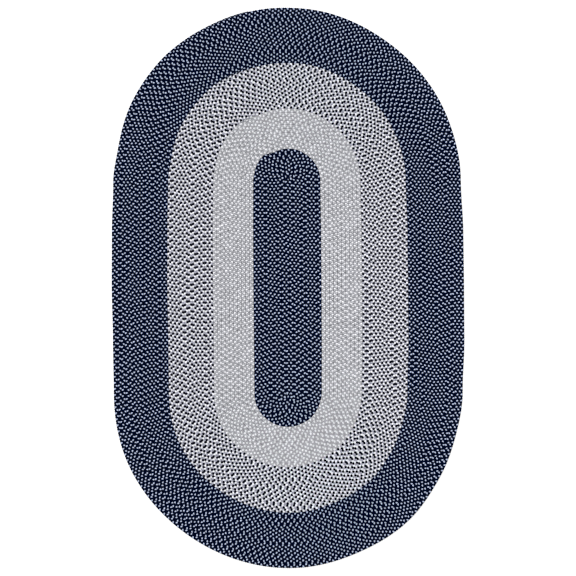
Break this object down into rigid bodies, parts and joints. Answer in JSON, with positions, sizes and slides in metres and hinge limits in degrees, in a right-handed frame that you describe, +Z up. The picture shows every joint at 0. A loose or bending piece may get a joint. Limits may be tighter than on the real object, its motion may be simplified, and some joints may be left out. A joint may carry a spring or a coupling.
{
  "type": "braided rug",
  "caption": "Flat oval rug of one three-strand braid wound from its centre line outwards and laced, in concentric bands of navy, grey and white with a navy border.",
  "frame": {"origin": "on the floor under the middle of the rug's bounding box", "axes": "+Y along the rug's length, +X across its width, +Z up through its thickness"},
  "size_m": [1.5298, 2.434, 0.01],
  "materials": {
    "navy_mix": "matt yarn braid of two dark navy strands and one pale blue strand",
    "grey_mix": "matt yarn braid of two mid grey strands and one off-white strand",
    "white_mix": "matt yarn braid of one near-black navy strand, one pale grey strand and one white strand"
  },
  "bodies": {
    "root": {"centre_braid": "navy_mix", "inner_braid": "grey_mix", "middle_braid": "white_mix", "outer_braid": "navy_mix"}
  },
  "joints": []
}
